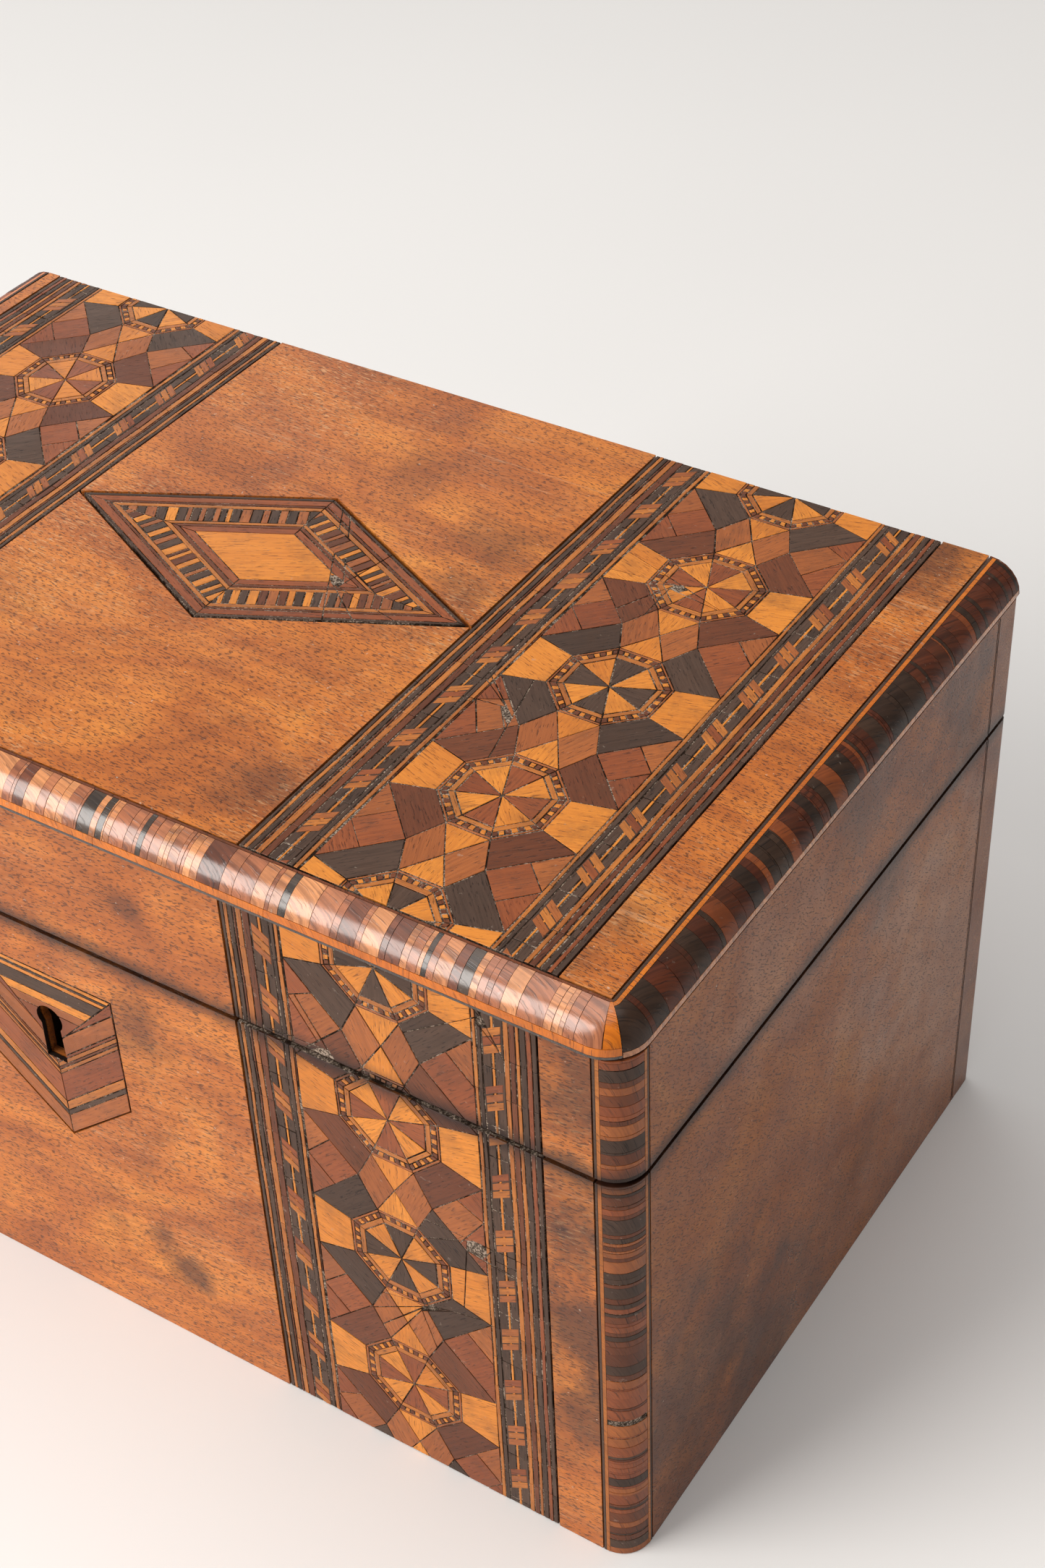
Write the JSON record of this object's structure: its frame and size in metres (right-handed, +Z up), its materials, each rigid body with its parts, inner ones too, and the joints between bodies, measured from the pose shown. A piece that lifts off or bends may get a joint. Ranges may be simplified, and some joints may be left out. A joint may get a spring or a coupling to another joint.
{
  "type": "tea caddy",
  "caption": "Hinged, lockable wooden box with parquetry-veneered lid and front, holding two lidded tea compartments.",
  "frame": {"origin": "middle of the underside of the base board", "axes": "+X to the right along the front, +Y to the back, +Z up"},
  "size_m": [0.229, 0.1397, 0.127],
  "materials": {
    "walnut": "french polished",
    "secondary_wood": "unpolished pine",
    "parquetry": "polished inlay of boxwood, rosewood and ebony",
    "crossbanding": "polished rosewood and ebony",
    "mahogany": "waxed",
    "foil": "dull tin foil",
    "velvet": "velvet",
    "brass": "aged",
    "steel": "dull",
    "boxwood": "turned and polished"
  },
  "bodies": {
    "case": {"back_liner": "mahogany", "base_board": "secondary_wood", "body_back_wall": "walnut", "body_corner_left": "crossbanding", "body_corner_right": "crossbanding", "body_front_band_left": "parquetry", "body_front_band_right": "parquetry", "body_front_wall": "walnut", "body_left_wall": "walnut", "body_right_wall": "walnut", "divider": "mahogany", "escutcheon_inlay": "parquetry", "front_liner": "mahogany", "left_foil_lining": "foil", "left_hinge_body_leaf": "brass", "left_hinge_body_screw_1": "steel", "left_hinge_body_screw_2": "steel", "left_hinge_pin": "brass", "left_lid_rest": "mahogany", "left_liner": "mahogany", "lock_case": "brass", "lock_screw_left": "brass", "lock_screw_right": "brass", "right_foil_lining": "foil", "right_hinge_body_leaf": "brass", "right_hinge_body_screw_1": "steel", "right_hinge_body_screw_2": "steel", "right_hinge_pin": "brass", "right_lid_rest": "mahogany", "right_liner": "mahogany"},
    "lid": {"left_hinge_lid_leaf": "brass", "left_hinge_lid_screw_1": "steel", "left_hinge_lid_screw_2": "steel", "lid_back_rail": "walnut", "lid_corner_left": "crossbanding", "lid_corner_right": "crossbanding", "lid_front_band_left": "parquetry", "lid_front_band_right": "parquetry", "lid_front_rail": "walnut", "lid_left_wall": "walnut", "lid_lining": "velvet", "lid_moulding_front": "crossbanding", "lid_moulding_left": "crossbanding", "lid_moulding_right": "crossbanding", "lid_right_wall": "walnut", "lid_top_band_left": "parquetry", "lid_top_band_right": "parquetry", "lid_top_board": "walnut", "link_plate": "brass", "link_plate_screw_left": "brass", "link_plate_screw_right": "brass", "lozenge_inlay": "parquetry", "right_hinge_lid_leaf": "brass", "right_hinge_lid_screw_1": "steel", "right_hinge_lid_screw_2": "steel"},
    "lock_bolt": {"lock_bolt": "steel"},
    "left_inner_lid": {"left_inner_lid": "mahogany", "left_knob": "boxwood"},
    "right_inner_lid": {"right_inner_lid": "mahogany", "right_knob": "boxwood"}
  },
  "joints": [
    {"name": "lid_hinge", "type": "hinge", "parent": "case", "child": "lid", "pos_m": [0, 0.0697, 0.0945], "axis": [-1, 0, 0], "range_deg": [0, 95]},
    {"name": "lock_bolt_slide", "type": "slide", "parent": "case", "child": "lock_bolt", "axis": [1, 0, 0], "range_m": [0, 0.004]},
    {"name": "left_inner_lid_lift", "type": "slide", "parent": "case", "child": "left_inner_lid", "axis": [0, 0, 1], "range_m": [0, 0.023]},
    {"name": "right_inner_lid_lift", "type": "slide", "parent": "case", "child": "right_inner_lid", "axis": [0, 0, 1], "range_m": [0, 0.023]}
  ]
}
